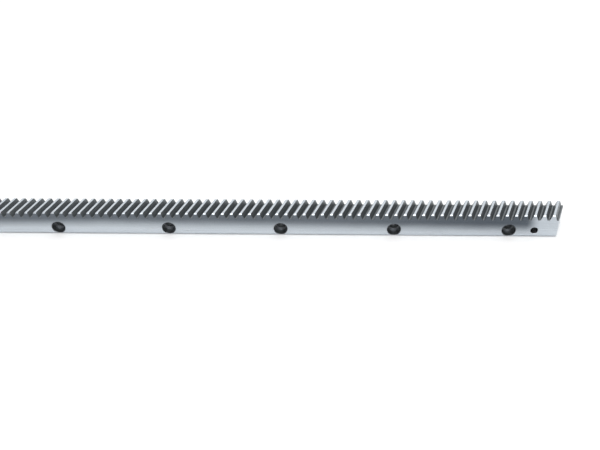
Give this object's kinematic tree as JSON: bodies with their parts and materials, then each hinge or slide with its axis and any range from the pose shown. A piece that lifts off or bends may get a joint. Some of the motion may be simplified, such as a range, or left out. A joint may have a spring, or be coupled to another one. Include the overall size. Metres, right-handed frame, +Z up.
{
  "type": "gear rack",
  "caption": "Long ground steel gear rack with slanted helical teeth along the top, counterbored bolt holes through the side and ends cut parallel to the teeth.",
  "frame": {"origin": "middle of the bar's length and width, on the bottom face", "axes": "+X along the bar, +Y from the counterbored front face to the back face that is screwed to the machine, +Z up to the tooth tips"},
  "size_m": [1.01, 0.029, 0.029],
  "materials": {
    "ground_steel": "ground steel, satin on the faces, darker in the tooth spaces"
  },
  "bodies": {
    "root": {"gear_rack": "ground_steel"}
  },
  "joints": []
}
